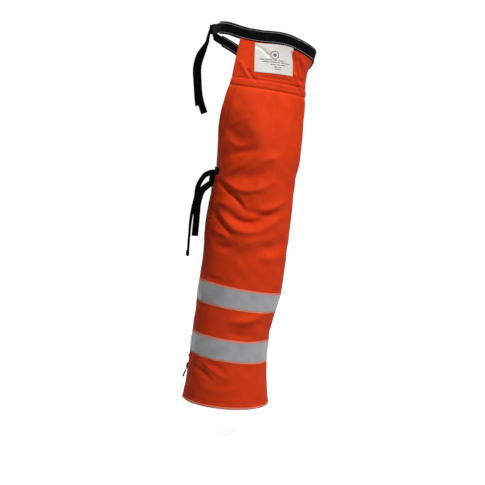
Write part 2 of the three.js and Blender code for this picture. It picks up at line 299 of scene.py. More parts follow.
def make_tail(name, y, route, twists, body=None):
    """A tail whose width turns out of its plane of fall by the angles in twists, in degrees."""
    points = [(x * MM, y * MM, z * MM) for x, z in route]
    path = smooth_path(points, 8)
    tangent = np.gradient(path, axis=0)
    in_plane = np.stack([-tangent[:, 2], np.zeros(len(path)), tangent[:, 0]], -1)
    in_plane /= np.linalg.norm(in_plane, axis=1)[:, None]
    share = np.linspace(0, 1, len(path))
    turn = np.radians(np.interp(share, np.linspace(0, 1, len(twists)), twists))[:, None]
    across = in_plane * np.cos(turn) + np.array([0, 1, 0]) * np.sin(turn)
    tail = sweep(name, path, across, flat_section(TAIL_WIDTH, TAIL_THICKNESS), webbing_black)
    place(tail, [name.replace("_webbing", "")], body)
    return tail


def across_knee(obj):
    """Bakes a piece's placement into its mesh; the piece is not bent between the thigh and the calf."""
    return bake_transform(obj)


make_tail("waist_tail_long_webbing", 8, WAIST_TAIL_LONG, (88, 86, 80, 26, 14, 20, 12, 0), "waist")
make_tail("waist_tail_short_webbing", -8, WAIST_TAIL_SHORT, (88, 86, 78, 34, 20, 15, 26, 20), "waist")
# Each thigh tail's place across in millimetres, its route, and its twists on the way down.
TIES = {
    "right": ((-102, TIE_TAIL_LONG, (10, 40, 50, 50, 60, 70, 76, 76)),
              (-94, TIE_TAIL_SHORT, (5, 30, 24, 14, 20, 24))),
    "left": ((110, LEFT_TAIL_LONG, (90, 90)),
             (86, LEFT_TAIL_SHORT, (90, 86, 90))),
}
for name, tails in TIES.items():
    for half, (y, route, twists) in zip(("long", "short"), tails):
        across_knee(make_tail(f"{name}_tie_tail_{half}_webbing", y, route, twists))


# ---- Waistband -------------------------------------------------------------------------------
# A padded band of black cloth, folded over webbing and topstitched along both edges. It dips at
# the hips and stops short of the back, where the webbing inside it comes out to be tied.
BAND = {"back": 139 * MM, "front": 143 * MM, "half_width": 175 * MM, "squareness": 3.2,
        "height": 32 * MM, "thickness": 4 * MM, "end": 34}
# Height of the band's top edge at angles from the back centre: it drops over the hips.
BAND_TOP = np.array([
    (0, 40), (20, 40), (35, 37), (48, 30), (60, 18), (72, 7), (86, 1), (100, -5), (115, -17),
    (130, -26), (145, -31), (160, -33), (180, -33)], float)
BAND_LEAN = 8 * MM                   # how far the lower edge sits behind the top edge in front


def ease(x):
    """A smooth step from 0 to 1."""
    x = np.clip(x, 0, 1)
    return x * x * (3 - 2 * x)


def band_top(angle):
    """Height of the band's top edge, by a smooth curve through the list."""
    turned = np.where(angle > 180, 360 - angle, angle)
    knots = np.arange(0.0, 181.0, 3.0)
    heights = np.interp(knots, *BAND_TOP.T)
    soft = np.convolve(np.pad(heights, 2, mode="reflect"), [0.1, 0.2, 0.4, 0.2, 0.1], "valid")
    return np.interp(turned, knots, soft) * MM


def waist_point(side, angle, below, depth):
    """A point on the waist ring: angle is from the back centre, below from the band's top."""
    angle = np.asarray(angle, float)
    cosine, sine = np.cos(np.radians(angle)), np.sin(np.radians(angle))
    power = np.where(cosine < 0, 2 / BAND["squareness"], 1.0)
    reach = np.where(cosine < 0, BAND["front"], BAND["back"])
    depth = depth + BAND_LEAN * ease((-cosine - 0.2) / 0.7) * below / BAND["height"]
    return np.stack([
        -(reach - depth) * np.sign(cosine) * np.abs(cosine) ** power,
        side * (BAND["half_width"] - depth) * np.sign(sine) * np.abs(sine) ** power,
        band_top(angle) - below,
    ], -1)


band_cloth, band_tree, band_shader = new_material(
    "black_folded_cordura", "#09080a", 0.9, Specular_IOR_Level=0.05)
band_uv = mottle(band_tree, band_shader, "#0b0a0c", "#050405", 60)
BAND_WEAVE = 1.8 * MM                # a coarse plain weave, drawn about twice its real size
band_weft = add_node(band_tree, "ShaderNodeMath", {"operation": "MULTIPLY"},
                     {0: ribs(band_tree, band_uv, BAND_WEAVE, "X"),
                      1: ribs(band_tree, band_uv, BAND_WEAVE, "Y")})
bump(band_tree, band_shader, band_weft.outputs[0], 0.5, 0.3 * MM)

angles = np.linspace(BAND["end"], 360 - BAND["end"], 240)
band_path = waist_point(-1, angles, BAND["height"] / 2, BAND["thickness"] / 2)
band_rise = waist_point(-1, angles, 0.0, 0.0) - waist_point(-1, angles, BAND["height"], 0.0)
waistband = sweep("waistband_cloth", band_path, band_rise,
                  flat_section(BAND["height"], BAND["thickness"]), band_cloth)
place(waistband, ["waistband"], "waist")

BELT_START = 7                       # degrees from the back centre, beside the knot
BELT_WIDTH = 25 * MM
BELT_THICKNESS = 2 * MM
for name, side in SIDES:
    angles = np.linspace(BELT_START, BAND["end"] + 6, 40)
    path = waist_point(side, angles, BAND["height"] / 2, BELT_THICKNESS)
    strap = sweep(f"belt_webbing_{name}_strap", path, UP,
                  flat_section(BELT_WIDTH, BELT_THICKNESS), webbing_black)
    place(strap, [f"belt_webbing_{name}"], "waist")


# ---- Knots -----------------------------------------------------------------------------------
# Each tie is a tight overhand knot in the webbing: a folded band that passes over and under
# itself three times.
def make_knot(name, nodes, centre, size, band, body=None):
    """A knot round a centre; its size and its band's width and thickness are in millimetres."""
    t = np.linspace(0, 2 * math.pi, 90, endpoint=False)
    shape = np.stack([np.sin(3 * t) * 0.75, np.sin(t) + 2 * np.sin(2 * t),
                      np.cos(t) - 2 * np.cos(2 * t)], -1)
    path = shape * (np.array(size) / 6) * MM + np.array(centre)
    across = path - np.array(centre)
    section = flat_section(*(v * MM for v in band))
    return place(sweep(name, path, across, section, webbing_black, closed=True), nodes, body)


def middle(node, back=0, up=0):
    """The middle of a CAD node's box, moved back and up by some millimetres."""
    low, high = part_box(node)
    return (low + high) / 2 + Vector((-back * MM, 0, up * MM))


make_knot("waist_knot_webbing", ["waist_knot"], middle("waist_knot", up=6),
          (38, 22, 20), (11, 6), "waist")
for name, side in SIDES:
    node = f"{name}_tie_knot"
    make_knot(f"{node}_webbing", [node], middle(node, back=2, up=-2),
              (40, 14, 31), (14, 7), f"{name}_thigh")
end_knot = make_knot("right_tie_end_knot", [], (-203 * MM, -102 * MM, -568 * MM), (20, 8, 15), (5, 4))
across_knee(end_knot)


# ---- Stitching ---------------------------------------------------------------------------------
# Lockstitch in pale grey polyester thread on the black band, and orange thread on the shell:
# short plump stitches with a small gap between them.
def repeat_tree():
    """Geometry Nodes: copies of one small piece, evenly spaced along the edges of a mesh."""
    tree = bpy.data.node_groups.new("repeat_along_line", "GeometryNodeTree")
    face = tree.interface
    face.new_socket("Geometry", in_out="INPUT", socket_type="NodeSocketGeometry")
    face.new_socket("Piece", in_out="INPUT", socket_type="NodeSocketObject")
    face.new_socket("Spacing", in_out="INPUT", socket_type="NodeSocketFloat")
    face.new_socket("Up", in_out="INPUT", socket_type="NodeSocketVector")
    face.new_socket("Material", in_out="INPUT", socket_type="NodeSocketMaterial")
    face.new_socket("Geometry", in_out="OUTPUT", socket_type="NodeSocketGeometry")
    given = add_node(tree, "NodeGroupInput")
    curve = add_node(tree, "GeometryNodeMeshToCurve", None, {"Mesh": given.outputs["Geometry"]})
    spaced = add_node(tree, "GeometryNodeResampleCurve", {"mode": "LENGTH"},
                      {"Curve": curve.outputs["Curve"], "Length": given.outputs["Spacing"]})
    tangent = add_node(tree, "GeometryNodeInputTangent")
    along = add_node(tree, "FunctionNodeAlignRotationToVector", {"axis": "X"},
                     {"Vector": tangent.outputs["Tangent"]})
    rolled = add_node(tree, "FunctionNodeAlignRotationToVector", {"axis": "Z", "pivot_axis": "X"},
                      {"Rotation": along.outputs["Rotation"], "Vector": given.outputs["Up"]})
    info = add_node(tree, "GeometryNodeObjectInfo", None, {"Object": given.outputs["Piece"]})
    copies = add_node(tree, "GeometryNodeInstanceOnPoints", None,
                      {"Points": spaced.outputs["Curve"], "Instance": info.outputs["Geometry"],
                       "Rotation": rolled.outputs["Rotation"]})
    real = add_node(tree, "GeometryNodeRealizeInstances", None,
                    {"Geometry": copies.outputs["Instances"]})
    done = add_node(tree, "GeometryNodeSetMaterial", None,
                    {"Geometry": real.outputs["Geometry"], "Material": given.outputs["Material"]})
    add_node(tree, "NodeGroupOutput", None, {"Geometry": done.outputs["Geometry"]})
    return tree


REPEAT = repeat_tree()


def repeat_along(name, lines, piece, spacing, material, up=(0, 0, 1)):
    """Copies piece along each line of points, and gives back one plain mesh object."""
    verts, edges = [], []
    for line in lines:
        start = len(verts)
        verts += [tuple(p) for p in line]
        edges += [(start + i, start + i + 1) for i in range(len(line) - 1)]
    guide = bpy.data.meshes.new(name)
    guide.from_pydata(verts, edges, [])
    holder = add_object(name + "_guide", guide)
    modifier = holder.modifiers.new("repeat", "NODES")
    modifier.node_group = REPEAT
    sockets = {item.name: item.identifier for item in REPEAT.interface.items_tree
               if item.in_out == "INPUT"}
    values = {"Piece": piece, "Spacing": spacing, "Up": Vector(up), "Material": material}
    for socket, value in values.items():
        modifier[sockets[socket]] = value
    bpy.context.view_layer.update()
    evaluated = holder.evaluated_get(bpy.context.evaluated_depsgraph_get())
    mesh = bpy.data.meshes.new_from_object(evaluated)
    mesh.name = name
    bpy.data.objects.remove(holder)
    mesh.polygons.foreach_set("use_smooth", [True] * len(mesh.polygons))
    return add_object(name, mesh)


def stitch_mesh(name, length, radius, sides=6):
    """A small plump capsule along X, the shape of one stitch."""
    rings = [(-0.5, 0.15), (-0.4, 0.75), (-0.15, 1), (0.15, 1), (0.4, 0.75), (0.5, 0.15)]
    turns = [2 * math.pi * i / sides for i in range(sides)]
    verts = [(x * length, r * radius * math.cos(a), r * radius * math.sin(a))
             for x, r in rings for a in turns]
    faces = grid_faces(len(rings), sides, closed=True)
    faces += [tuple(range(sides))[::-1], tuple((len(rings) - 1) * sides + i for i in range(sides))]
    obj = outward(make_object(name, verts, faces, webbing_black))
    obj.hide_render = True
    return obj


thread_grey = new_material("grey_polyester_thread", "#a2a0a2", 0.6, Sheen_Weight=0.4)[0]
thread_orange = new_material("orange_polyester_thread", "#c9401c", 0.55, Sheen_Weight=0.3)[0]
BAND_STITCH = stitch_mesh("band_stitch", 4.2 * MM, 0.75 * MM)
SHELL_STITCH = stitch_mesh("shell_stitch", 3.4 * MM, 0.45 * MM)
BAND_STITCH_PITCH = 5.0 * MM
SHELL_STITCH_PITCH = 4.4 * MM
BAND_STITCH_INSET = 4.5 * MM         # from the band's edges
THREAD_LIFT = 0.2 * MM               # how far the thread's middle stands out of the cloth

angles = np.linspace(BAND["end"] + 2, 358 - BAND["end"], 260)
band_lines = []
for below in (BAND_STITCH_INSET, BAND["height"] - BAND_STITCH_INSET):
    band_lines.append(waist_point(-1, angles, below, -THREAD_LIFT))
    band_lines.append(waist_point(-1, angles, below, BAND["thickness"] + THREAD_LIFT))
band_stitches = repeat_along("waistband_topstitching", band_lines, BAND_STITCH, BAND_STITCH_PITCH,
                             thread_grey)
place(band_stitches, body="waist")


# ---- Shape of a leg ------------------------------------------------------------------------------
# Each leg is lofted through sections that tip down to the front. A row of SECTIONS is, in
# millimetres: height of the middle, how far the front edge lies below it, back edge, front edge,
# middle across, half-width; then the angles, from the back centre, where the cloth starts on
# the outer side and ends on the inner side. Below the knee the edges run along the zip.
ZIP_TOP = (-161, -566)               # x and z of the zip's upper end, in millimetres
ZIP_LEAN = math.radians(8)
ZIP_GAP = 11                         # from the zip's middle to the edge of the cloth, in millimetres


def calf(z, drop, front, centre, half):
    """A row of SECTIONS whose back edges lie along the zip."""
    back = ZIP_TOP[0] - (ZIP_TOP[1] - z - drop) * math.tan(ZIP_LEAN)
    edge = math.degrees(math.asin(ZIP_GAP / half))
    return (z, drop, back, front, centre, half, edge, 360 - edge)


SECTIONS = np.array([
    (-130, 18, -154, 110, 88, 86, 61, 222),
    (-184, 22, -146, 105, 90, 88, 49, 258),
    (-233, 22, -135, 102, 92, 89, 34, 285),
    (-301, 20, -124, 94.5, 95, 89, 16, 300),
    (-365, 17, -126, 81, 98, 88, 10, 305),
    (-451, 16, -145, 72.5, 100, 86, 10, 325),
    (-518, 16, -157, 64, 103, 84, 9, 343),
    calf(-582, 16, 56.5, 106, 83),
    calf(-652, 21.5, 46, 106, 82),
    calf(-708, 18.5, 30.5, 106, 81),
    calf(-786, 16, 12, 106, 81),
    calf(-845, 16, 8.5, 106, 82),
    calf(-908, 13, 9, 106, 84),
    (-967, 10, -219, 13, 106, 87, 7, 353),
], float)
SECTIONS[:, :6] *= MM
SEAM, HEM = SECTIONS[0, 0], SECTIONS[-1, 0]


def section_at(z):
    """The section at each height, by a smooth curve through the list; z is an array."""
    keys = -SECTIONS[:, 0]
    x = np.clip(-z, keys[0], keys[-1])
    slopes = np.diff(SECTIONS[:, 1:], axis=0) / np.diff(keys)[:, None]
    tangents = np.vstack([slopes[:1], (slopes[1:] + slopes[:-1]) / 2, slopes[-1:]])
    i = np.clip(np.searchsorted(keys, x, "right") - 1, 0, len(keys) - 2)
    h = (keys[i + 1] - keys[i])[..., None]
    s = ((x - keys[i]) / (keys[i + 1] - keys[i]))[..., None]
    a, b = SECTIONS[i, 1:], SECTIONS[i + 1, 1:]
    return ((2 * s ** 3 - 3 * s ** 2 + 1) * a + (s ** 3 - 2 * s ** 2 + s) * h * tangents[i]
            + (3 * s ** 2 - 2 * s ** 3) * b + (s ** 3 - s ** 2) * h * tangents[i + 1])


def leg_point(side, z, angle, depth):
    """A point of the leg at a height, an angle from the back centre and a depth under the cloth."""
    drop, back, front, centre, half = np.moveaxis(section_at(z)[..., :5], -1, 0)
    a = np.radians(angle)
    return np.stack([
        (front + back) / 2 - ((front - back) / 2 - depth) * np.cos(a),
        side * (centre + (half - depth) * np.sin(a)),
        z + drop * np.cos(a),
    ], -1)


def cloth_angle(z, share):
    """The angle at a share of the way round the cloth, from its outer edge to its inner edge."""
    start, end = np.moveaxis(section_at(z)[..., 5:7], -1, 0)
    return start + (end - start) * share


# ---- Folds in the shell --------------------------------------------------------------------------
# The knee is slightly bent, so the padded cloth buckles there in crescent folds that sag
# between the back edge and the shin; above and below it only soft dents show. Each fold is a
# line in the leg's side view: points as x, z; then height and spread, all in millimetres.
FOLDS = [
    ([(-29, -177), (-22, -235), (-14, -292)], 7, 22),
    ([(-88, -234), (-57, -222), (-37, -215)], 1.5, 5),
    ([(-98, -215), (-72, -262), (-30, -275)], -3.5, 16),
    ([(-85, -272), (-67, -287), (-47, -285), (-22, -272)], 2, 5),
    ([(-90, -312), (-72, -305), (-42, -300), (-17, -295)], -4, 8),
    ([(-6, -325), (11, -322), (32, -315)], 3.5, 8),
    ([(-93, -358), (-62, -340), (-37, -323), (-17, -312)], 4, 7),
    ([(-80, -362), (-49, -366), (-22, -362), (6, -352)], -6, 14),
    ([(-98, -376), (-75, -391), (-52, -400), (-27, -399), (-1, -392), (19, -381)], 4.5, 7),
    ([(-114, -379), (-93, -400), (-75, -418), (-62, -434), (-52, -449)], -6, 5.5),
    ([(-117, -433), (-98, -434), (-80, -442)], 5, 11),
    ([(-44, -452), (-21, -459), (4, -463), (30, -460)], -4, 7.5),
    ([(-85, -462), (-72, -474), (-52, -481), (-32, -482), (-11, -476), (9, -467)], -6, 7),
    ([(-111, -455), (-98, -475), (-80, -493), (-55, -504), (-32, -505), (-8, -499), (15, -486),
      (38, -471)], 6, 9),
    ([(-80, -516), (-50, -528), (-10, -528), (30, -506)], 5, 19),
    ([(-6, -452), (20, -445), (49, -430)], 4.5, 8),
    ([(-127, -456), (-114, -475), (-98, -492), (-85, -511)], -5, 5),
    ([(-124, -507), (-106, -511), (-90, -521)], 3.5, 7),
    ([(-119, -543), (-98, -547), (-78, -539)], -4, 8),
    ([(-19, -541), (10, -548), (42, -542)], -4, 13),
    ([(-62, -551), (-42, -533), (-16, -523)], 1.5, 8),
    ([(-16, -575), (10, -576), (45, -574)], 2.5, 9),
    ([(-149, -624), (-127, -629), (-103, -635)], -1.5, 7),
    ([(-80, -739), (-49, -739), (-15, -731)], 6, 10),
    ([(-88, -770), (-62, -776), (-36, -778)], -2, 6),
    ([(-182, -864), (-154, -879), (-135, -896)], -2, 5),
    ([(-159, -849), (-127, -871), (-109, -886)], 2, 5),
    ([(-130, -853), (-109, -865), (-99, -878)], -2, 5),
    ([(-168, -910), (-114, -923), (-62, -914)], 1.5, 9),
]
FOLD_GAIN = 1.3                      # raises the whole set, for cloth as stiff as this
NEAR_FOLD = 0.2                      # beyond this distance a fold is not felt, in metres


def fold_height(points, shift=0.0):
    """Height of all the folds at points in space, read in side view; shift moves them up."""
    x, z = points[..., 0].ravel(), points[..., 2].ravel() - shift
    total = np.zeros(len(x))
    for line, height, spread in FOLDS:
        path = smooth_path(np.array(line, float) * MM, 8)
        near = np.abs(x - path[:, 0].mean()) + np.abs(z - path[:, 1].mean()) < NEAR_FOLD
        gap = np.hypot(x[near, None] - path[:, 0], z[near, None] - path[:, 1])
        along = gap.argmin(1) / (len(path) - 1)
        taper = 0.35 + 0.65 * np.sin(np.pi * np.clip(along, 0.02, 0.98))
        total[near] += FOLD_GAIN * height * MM * taper * np.exp(-(gap.min(1) / (spread * MM)) ** 2 / 1.3)
    return total.reshape(points.shape[:-1])


def ripple(points, amount, seed, wavelengths=(0.16, 0.11, 0.07, 0.05)):
    """Low random waves all over the cloth."""
    rng = np.random.default_rng(seed)
    total = np.zeros(points.shape[:-1])
    for wavelength in wavelengths:
        direction = rng.normal(size=3)
        direction *= 2 * math.pi / wavelength / np.linalg.norm(direction)
        total += np.sin(points @ direction + rng.uniform(0, 2 * math.pi)) * amount * wavelength / 0.16
    return total


# ---- Outer shell of each leg ---------------------------------------------------------------------
# Orange coated nylon oxford, one piece from the seam under the apron to the hem. It is quilted
# to the pad along its edges, so it stands full inside a flat placket with two stitch lines.
SHELL = 1.3 * MM
PLACKET = 22 * MM                    # width of the flat strip along each back edge
LEG_ROUND = 0.54                     # rough length of cloth round a leg, for cloth coordinates
FOLD_MARGIN = 30 * MM                # folds reach their full height this far in from an edge
INNER_FOLD_SHARE = 0.7               # height of the folds on the inner side against the outer
INNER_FOLD_SHIFT = 0.018             # how much higher up they sit
FULLNESS = 1.3 * MM                  # how far the quilted part stands over the placket
SEAM_FULLNESS = 0.9 * MM             # and how much more between the seam and the hem
KNEE_HEIGHT = -0.475                 # middle of the puckers beside the opening at the knee
PUCKER_PITCH = 13 * MM               # from one pucker to the next


def rows_between(top, bottom, step, finer=()):
    """Heights from top to bottom, with close rows where a narrow groove crosses."""
    heights = list(np.linspace(top, bottom, int(round((top - bottom) / step)) + 1))
    for z in finer:
        heights += [z + d * MM for d in (-4, -2.6, -1.3, 0, 1.3, 2.6, 4)]
    heights = sorted({round(z, 5) for z in heights if bottom <= z <= top}, reverse=True)
    return np.array(heights)


def columns_round(count):
    """Shares of the way round, closer together across the two plackets' stitch lines."""
    edge = np.array([0, 2, 5, 9, 13, 17, 19.5, 21, 22, 23, 24.5, 27, 31]) * MM / LEG_ROUND
    inner = np.linspace(edge[-1], 1 - edge[-1], count)[1:-1]
    return np.concatenate([edge, inner, 1 - edge[::-1]])


SEAM_GROOVE = SEAM - 12 * MM
HEM_STITCH = HEM + 12 * MM


def groove(distance, depth, spread):
    """A soft groove pulled in by a line of stitches."""
    return -depth * np.exp(-(distance / spread) ** 2)


def shell_height(side, z, share):
    """How far the shell stands out of the plain leg shape."""
    angle = cloth_angle(z, share)
    base = leg_point(side, z, angle, 0.0)
    sideways = np.sin(np.radians(angle))
    height = (fold_height(base) * ease(sideways / 0.5)
              + fold_height(base, INNER_FOLD_SHIFT) * ease(-sideways / 0.5) * INNER_FOLD_SHARE)
    from_edge = np.minimum(share, 1 - share) * LEG_ROUND
    height *= ease(from_edge / FOLD_MARGIN)
    height += ripple(base, 0.35 * MM, 5 if side < 0 else 8)
    patchy = ease(ripple(base, 0.6, 31, (0.16, 0.12)) + 0.5)
    height += ripple(base * [1, 1, 1.5], 1.5 * MM, 12, (0.062, 0.053, 0.045, 0.036, 0.03)) * patchy
    height += FULLNESS * ease((from_edge - PLACKET) / (14 * MM))
    height += groove(from_edge - PLACKET, 0.9 * MM, 1.6 * MM)
    at_knee = np.exp(-((z - KNEE_HEIGHT) / 0.055) ** 2)
    pucker = np.sin(z / PUCKER_PITCH * 2 * math.pi + from_edge * 90)
    height += 1.5 * MM * pucker * at_knee * np.exp(-((from_edge - PLACKET * 0.7) / (17 * MM)) ** 2)
    height += groove(z - SEAM_GROOVE, 2.6 * MM, 2.8 * MM) + groove(z - HEM_STITCH, 0.7 * MM, 1.6 * MM)
    height += SEAM_FULLNESS * ease((SEAM_GROOVE - z) / (20 * MM)) * ease((z - HEM) / (40 * MM))
    return height


def on_shell(side, z, share, depth):
    """A point that follows the folds of the shell, at a depth under its face."""
    return leg_point(side, z, cloth_angle(z, share), depth - shell_height(side, z, share))


def leg_grid(heights, shares):
    """Heights, shares and angles of a grid over a leg."""
    z, share = np.meshgrid(heights, shares, indexing="ij")
    return z, share, cloth_angle(z, share)


def cloth_uv(z, share):
    """Cloth coordinates, in metres."""
    return np.stack([share * LEG_ROUND, z], -1)


OXFORD_YARN = 1.9 * MM               # real yarns are about 0.6 mm apart; wider so that they show


def oxford(name, light, dark):
    """Coated nylon oxford: a basket weave of thick filament yarns, matt."""
    material, tree, shader = new_material(name, light, 0.7, Specular_IOR_Level=0.08)
    uv = mottle(tree, shader, light, dark, 26)
    basket = add_node(tree, "ShaderNodeMath", {"operation": "ADD"},
                      {0: ribs(tree, uv, OXFORD_YARN, "X"), 1: ribs(tree, uv, OXFORD_YARN, "Y")})
    bump(tree, shader, basket.outputs[0], 0.28, 0.2 * MM)
    return material


shell_orange = oxford("orange_nylon_oxford", "#f04414", "#e43b0e")
shell_rows = rows_between(SEAM, HEM, 3.4 * MM, (SEAM_GROOVE, HEM_STITCH))
ROUND_SHARES = columns_round(128)
STITCHED_COLUMNS = (8, -9)           # the columns on the plackets' stitch lines
for name, side in SIDES:
    z, share, angle = leg_grid(shell_rows, ROUND_SHARES)
    height = shell_height(side, z, share)
    outer = leg_point(side, z, angle, -height)
    inner = leg_point(side, z, angle, SHELL - height)
    shell = sheet_mesh(f"{name}_leg_shell", outer, inner, cloth_uv(z, share), shell_orange)
    place(shell, [f"{name}_{part}_shell" for part in ("thigh", "knee", "shin")])
    across_knee(shell)

    seams = [np.s_[:, column] for column in STITCHED_COLUMNS]
    seams += [int(np.abs(shell_rows - level).argmin()) for level in (SEAM_GROOVE, HEM_STITCH)]
    lines = [leg_point(side, z[seam], angle[seam], -height[seam] - THREAD_LIFT) for seam in seams]
    stitches = repeat_along(f"{name}_leg_stitching", lines, SHELL_STITCH, SHELL_STITCH_PITCH,
                            thread_orange)
    place(stitches)
    across_knee(stitches)


# ---- Thigh ties and hem binding --------------------------------------------------------------------
# A webbing strap is sewn to each back edge of the thigh and the two are knotted together. A
# narrow folded binding of paler cloth closes the hem.
TIE_HEIGHT = -365 * MM
TIE_ARCS = {"outer": (26, 2), "inner": (293, 358)}    # degrees from the back centre
TIE_LIFT = 1.8 * MM
BINDING_WIDTH = 6 * MM
BINDING_THICKNESS = 3.4 * MM
pale_binding = oxford("salmon_bias_binding", "#e9917c", "#dc816d")
for name, side in SIDES:
    for half, arc in TIE_ARCS.items():
        angle = np.linspace(*arc, 40)
        z = np.full(40, TIE_HEIGHT)
        start, end = cloth_angle(z, 0.0), cloth_angle(z, 1.0)
        share = np.clip((angle - start) / (end - start), 0, 1)
        height = np.maximum(shell_height(side, z, share), 0)
        path = leg_point(side, z, angle, -height - TIE_LIFT)
        strap = sweep(f"{name}_tie_strap_{half}_webbing", path, UP,
                      flat_section(TAIL_WIDTH, TAIL_THICKNESS), webbing_black)
        place(strap, [f"{name}_tie_strap_{half}"], f"{name}_thigh")

    path = on_shell(side, np.full(len(ROUND_SHARES), HEM), ROUND_SHARES, SHELL / 2)
    binding = sweep(f"{name}_hem_binding", path + np.array([0, 0, 0.5 * MM]), UP,
                    flat_section(BINDING_WIDTH, BINDING_THICKNESS), pale_binding)
    place(binding, body=f"{name}_shin")


# ---- Pads and linings ------------------------------------------------------------------------------
# Behind the shell lie loose layers of cut-stopping fibre, needled into felt, and a dark woven
# lining that is sewn to the shell round the edges, so the leg is thin there and full inside.
def edge_fullness(z, share):
    """0 at any edge of the padded leg, 1 well inside it."""
    from_edge = np.minimum(share, 1 - share) * LEG_ROUND
    return ease(from_edge / FOLD_MARGIN) * ease((SEAM - z) / (26 * MM)) * ease((z - HEM) / FOLD_MARGIN)


felt, felt_tree, felt_shader = new_material(
    "needled_aramid_felt", "#d9d2bd", 0.95, Sheen_Weight=0.5, Sheen_Roughness=0.7)
felt_uv = mottle(felt_tree, felt_shader, "#ded8c4", "#c9c0a6", 140)
felt_fibres = add_node(felt_tree, "ShaderNodeTexNoise", None,
                       {"Vector": felt_uv, "Scale": 900.0, "Detail": 5.0})
bump(felt_tree, felt_shader, felt_fibres.outputs["Fac"], 0.6, 0.6 * MM)

lining_cloth, lining_tree, lining_shader = new_material(
    "charcoal_polyester_lining", "#2b2c2f", 0.7, Sheen_Weight=0.2, Sheen_Roughness=0.5)
lining_uv = mottle(lining_tree, lining_shader, "#303135", "#232427", 50)
LINING_TWILL = 1.6 * MM
bump(lining_tree, lining_shader, ribs(lining_tree, lining_uv, LINING_TWILL, "DIAGONAL"), 0.3, 0.2 * MM)

PAD = 7.4 * MM                       # nominal depth of the fibre in a full leg
LINING_FOLDS = 0.9                   # height of the folds in the lining against the shell's
LINING = 0.8 * MM                    # thickness of the lining cloth
pad_rows = rows_between(SEAM - 14 * MM, HEM + 20 * MM, 6 * MM)
pad_columns = np.linspace(0.03, 0.97, 70)
lining_rows = rows_between(SEAM - 0.5 * MM, HEM + 3 * MM, 7 * MM)
lining_columns = np.linspace(0.008, 0.992, 90)
for name, side in SIDES:
    z, share, angle = leg_grid(pad_rows, pad_columns)
    height = shell_height(side, z, share)
    full = edge_fullness(z, share)
    outer = leg_point(side, z, angle, SHELL + (0.5 + 3.2 * full) * MM - height)
    inner = leg_point(side, z, angle, SHELL + 1.0 * MM + (PAD + 1.4 * MM) * full - height * LINING_FOLDS)
    pad = sheet_mesh(f"{name}_leg_pad", outer, inner, cloth_uv(z, share), felt)
    place(pad, [f"{name}_{part}_pad" for part in ("thigh", "knee", "shin")])
    across_knee(pad)

    z, share, angle = leg_grid(lining_rows, lining_columns)
    full = edge_fullness(z, share)
    height = shell_height(side, z, share) * LINING_FOLDS
    height += ripple(leg_point(side, z, angle, 0.0), 0.3 * MM, 21) * full
    depth = SHELL + 0.8 * MM + (PAD + 2.8 * MM) * full
    outer = leg_point(side, z, angle, depth - height)
    inner = leg_point(side, z, angle, depth + LINING - height)
    lining = sheet_mesh(f"{name}_leg_lining", outer, inner, cloth_uv(z, share), lining_cloth)
    place(lining, [f"{name}_{part}_lining" for part in ("thigh", "knee", "shin")])
    across_knee(lining)


# ---- Aprons --------------------------------------------------------------------------------------
# A single layer of the same oxford joins the padded leg to the waistband. It is lapped over the
# top of the leg, sewn down, and drawn into shallow creases by the pull of the band. The creases
# are listed in the way of the folds.
APRON_ARC = (64, 168)                # degrees round the waist
SEAM_OPENING = SECTIONS[0, 6:8]
CREASES = [
    ([(70, -56), (81, -83), (89, -118)], -5, 6),
    ([(79, -106), (87, -128), (95, -148)], 3.5, 4),
    ([(100, -71), (105, -91), (100, -112)], 2.5, 4),
    ([(89, -72), (97, -97), (98, -122)], -3.5, 4),
    ([(-44, -97), (-34, -112), (-22, -125)], -4, 3.5),
    ([(-60, -78), (-50, -97), (-37, -117)], 2.5, 5),
    ([(-7, -115), (26, -119), (60, -122)], -2, 4),
    ([(-22, -38), (-4, -48), (11, -63)], -2.8, 3.2),
]


def across_hip(obj):
    """Bakes a piece's placement into its mesh; the piece is not bent between the waist and a thigh."""
    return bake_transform(obj)


def apron_point(side, share, across, depth):
    """A point of an apron: share runs from the band down to the seam, across from back to front."""
    top_angle = APRON_ARC[0] + (APRON_ARC[1] - APRON_ARC[0]) * across
    low_angle = SEAM_OPENING[0] + (SEAM_OPENING[1] - SEAM_OPENING[0]) * across
    top = waist_point(side, top_angle, BAND["height"] - 6 * MM, depth + 0.6 * MM * (1 - share))
    low = leg_point(side, np.full_like(across, SEAM), low_angle, depth)
    low[..., 2] -= 3 * MM
    return top + (low - top) * share[..., None]


def crease_height(points):
    """Height of all the creases at points in space, read in side view."""
    total = np.zeros(points.shape[:-1])
    for line, height, spread in CREASES:
        path = smooth_path(np.array(line, float) * MM, 8)
        gap = np.hypot(points[..., 0, None] - path[:, 0], points[..., 2, None] - path[:, 1])
        total += height * MM * np.exp(-(gap.min(-1) / (spread * MM)) ** 2)
    return total


def apron_height(share, base):
    """How far an apron stands out of its plain shape."""
    loose = ease(share / 0.25) * ease((1.1 - share) / 0.3)
    return ((crease_height(base) + ripple(base, 0.5 * MM, 3)) * loose
            + 1.0 * MM * ease((share - 0.8) / 0.2) + groove(share - APRON_GROOVE, 2.0 * MM, 0.024)
            - 3 * MM * ease((base[..., 0] - 0.08) / 0.03) * np.sin(np.pi * np.clip(share, 0, 1) ** 1.6))


